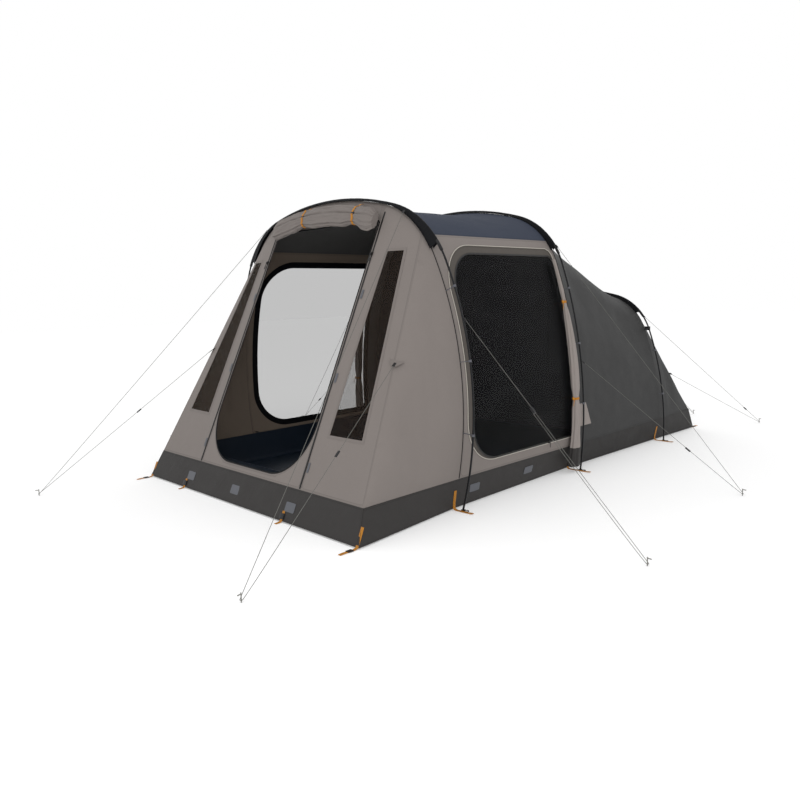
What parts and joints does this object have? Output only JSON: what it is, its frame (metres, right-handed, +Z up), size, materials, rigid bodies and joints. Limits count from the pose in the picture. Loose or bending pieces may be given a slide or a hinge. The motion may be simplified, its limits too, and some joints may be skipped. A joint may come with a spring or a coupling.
{
  "type": "tunnel tent",
  "caption": "Arched-pole tunnel tent with an open front door, mesh side doors and windows, a lower sleeping end, groundsheet, guy lines and pegs.",
  "frame": {"origin": "on the ground at the middle of the pitch, halfway between the front and rear hems", "axes": "+X to the right seen from the front, +Y from the front door to the sleeping end, +Z up"},
  "size_m": [5.0872, 5.9666, 2.06],
  "materials": {
    "pole": "satin black tube",
    "sleeve": "woven webbing",
    "roof_cloth": "coated polyester, blue grey",
    "bedroom_cloth": "coated polyester, dark grey",
    "wall_cloth": "coated polyester, taupe",
    "skirt_cloth": "coated polyester, dark",
    "mesh": "fine net",
    "groundsheet": "laminated sheet",
    "inner_cloth": "breathable polyester",
    "zip": "zip tape and coil",
    "zip_slider": "black",
    "plastic": "moulded",
    "clip": "moulded",
    "tie": "woven webbing, amber",
    "foot": "zinc plated",
    "peg": "dark steel",
    "guy": "braided cord",
    "tab": "reflective webbing"
  },
  "bodies": {
    "tent": {"bedroom_inner_front": "inner_cloth", "bedroom_inner_shell": "inner_cloth", "bedroom_roof": "bedroom_cloth", "bedroom_walls": "bedroom_cloth", "door_ties": "tie", "end_gussets": "wall_cloth", "end_skirts": "skirt_cloth", "front_door_surround": "wall_cloth", "front_door_zips": "zip", "front_pole_legs": "pole", "front_pole_roof": "pole", "front_side_panels": "wall_cloth", "front_window_mesh": "mesh", "groundsheet": "groundsheet", "guy_pegs": "peg", "guy_tabs": "tab", "inner_fastenings": "inner_cloth", "left_back_guy": "guy", "left_front_guy": "guy", "left_porch_guy": "guy", "left_rear_guy": "guy", "left_side_guy": "guy", "left_wall": "wall_cloth", "living_roof": "roof_cloth", "middle_pole_legs": "pole", "middle_pole_roof": "pole", "peg_straps": "tie", "pole_clips": "clip", "pole_feet": "foot", "pole_sleeves": "sleeve", "rear_panel": "bedroom_cloth", "rear_pole_legs": "pole", "rear_pole_roof": "pole", "right_back_guy": "guy", "right_front_guy": "guy", "right_porch_guy": "guy", "right_rear_guy": "guy", "right_side_guy": "guy", "right_wall": "wall_cloth", "rolled_front_door": "wall_cloth", "rolled_side_doors": "wall_cloth", "side_door_mesh": "mesh", "side_door_zips": "zip", "side_skirts": "skirt_cloth", "strap_buckles": "plastic"},
    "right_front_slider": {"right_front_slider": "zip_slider"},
    "right_front_puller": {"right_front_puller": "zip_slider"},
    "right_side_slider": {"right_side_slider": "zip_slider"},
    "right_front_tensioner": {"right_front_tensioner": "plastic"},
    "right_porch_tensioner": {"right_porch_tensioner": "plastic"},
    "right_side_tensioner": {"right_side_tensioner": "plastic"},
    "right_rear_tensioner": {"right_rear_tensioner": "plastic"},
    "left_front_slider": {"left_front_slider": "zip_slider"},
    "left_front_puller": {"left_front_puller": "zip_slider"},
    "left_side_slider": {"left_side_slider": "zip_slider"},
    "left_front_tensioner": {"left_front_tensioner": "plastic"},
    "left_porch_tensioner": {"left_porch_tensioner": "plastic"},
    "left_side_tensioner": {"left_side_tensioner": "plastic"},
    "left_rear_tensioner": {"left_rear_tensioner": "plastic"}
  },
  "joints": [
    {"name": "right_front_zip_run", "type": "slide", "parent": "tent", "child": "right_front_slider", "axis": [0, 0.4171, 0.9089], "range_m": [-1.36, 0]},
    {"name": "right_front_puller_swing", "type": "hinge", "parent": "right_front_slider", "child": "right_front_puller", "pos_m": [0.605, -1.45578, 1.64578], "axis": [1, 0, 0], "range_deg": [-150, 0]},
    {"name": "right_side_zip_run", "type": "slide", "parent": "tent", "child": "right_side_slider", "axis": [0.0022, 1, 0], "range_m": [-0.53, 0]},
    {"name": "right_front_tensioner_slide", "type": "slide", "parent": "tent", "child": "right_front_tensioner", "axis": [-0.185, 0.7836, 0.5931], "range_m": [-0.25, 0.35]},
    {"name": "right_porch_tensioner_slide", "type": "slide", "parent": "tent", "child": "right_porch_tensioner", "axis": [-0.7205, 0.0501, 0.6916], "range_m": [0, 0.5]},
    {"name": "right_side_tensioner_slide", "type": "slide", "parent": "tent", "child": "right_side_tensioner", "axis": [-0.8131, -0.0368, 0.581], "range_m": [-0.25, 0.35]},
    {"name": "right_rear_tensioner_slide", "type": "slide", "parent": "tent", "child": "right_rear_tensioner", "axis": [-0.3117, -0.7307, 0.6074], "range_m": [-0.08, 0.6]},
    {"name": "left_front_zip_run", "type": "slide", "parent": "tent", "child": "left_front_slider", "axis": [0, 0.4171, 0.9089], "range_m": [-1.36, 0]},
    {"name": "left_front_puller_swing", "type": "hinge", "parent": "left_front_slider", "child": "left_front_puller", "pos_m": [-0.605, -1.45578, 1.64578], "axis": [1, 0, 0], "range_deg": [-150, 0]},
    {"name": "left_side_zip_run", "type": "slide", "parent": "tent", "child": "left_side_slider", "axis": [-0.0022, 1, 0], "range_m": [-0.53, 0]},
    {"name": "left_front_tensioner_slide", "type": "slide", "parent": "tent", "child": "left_front_tensioner", "axis": [0.185, 0.7836, 0.5931], "range_m": [-0.25, 0.35]},
    {"name": "left_porch_tensioner_slide", "type": "slide", "parent": "tent", "child": "left_porch_tensioner", "axis": [0.7205, 0.0501, 0.6916], "range_m": [0, 0.5]},
    {"name": "left_side_tensioner_slide", "type": "slide", "parent": "tent", "child": "left_side_tensioner", "axis": [0.8131, -0.0368, 0.581], "range_m": [-0.25, 0.35]},
    {"name": "left_rear_tensioner_slide", "type": "slide", "parent": "tent", "child": "left_rear_tensioner", "axis": [0.3117, -0.7307, 0.6074], "range_m": [-0.08, 0.6]}
  ]
}
